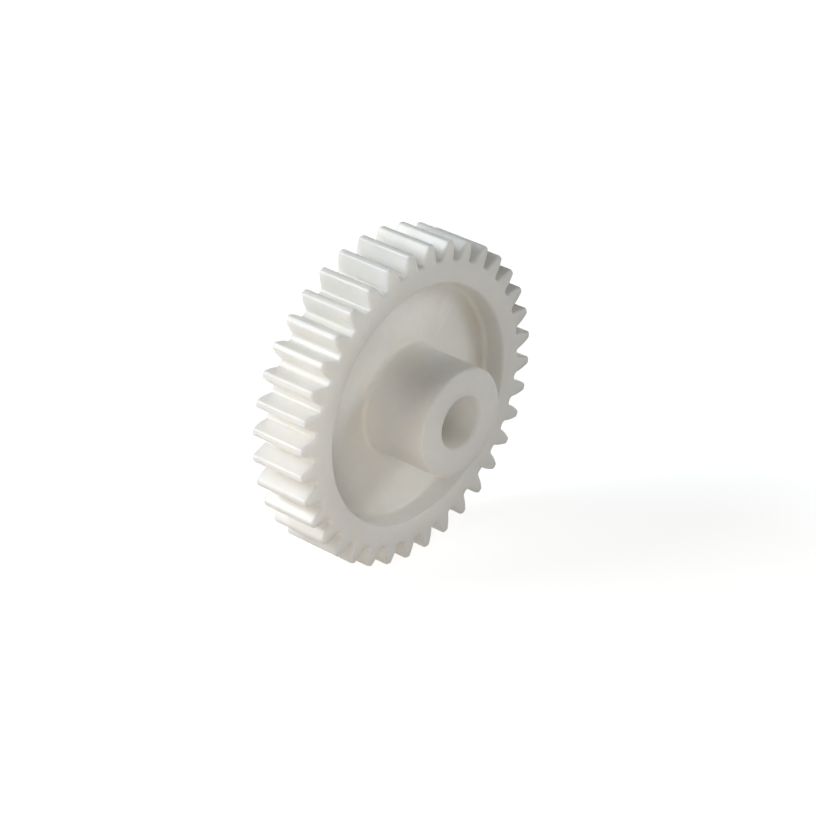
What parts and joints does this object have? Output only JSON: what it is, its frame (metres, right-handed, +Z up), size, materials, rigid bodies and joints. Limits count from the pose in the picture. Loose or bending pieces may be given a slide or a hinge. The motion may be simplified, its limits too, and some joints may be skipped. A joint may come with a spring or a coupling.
{
  "type": "spur gear",
  "caption": "Moulded plastic spur gear with involute teeth, a recessed web and a plain-bored hub standing out on one side, for a round shaft.",
  "frame": {"origin": "on the bore axis, halfway across the width of the teeth", "axes": "+Y along the bore axis from the hub's nose to the gear's flat back, so the hub points to -Y; +Z up, with the space between two teeth at the bottom, so the gear stands on two teeth"},
  "size_m": [0.0758, 0.027, 0.0758],
  "materials": {
    "acetal_white": "natural white moulded acetal, satin, slightly translucent"
  },
  "bodies": {
    "root": {"teeth": "acetal_white", "rim": "acetal_white", "web": "acetal_white", "hub": "acetal_white"}
  },
  "joints": []
}
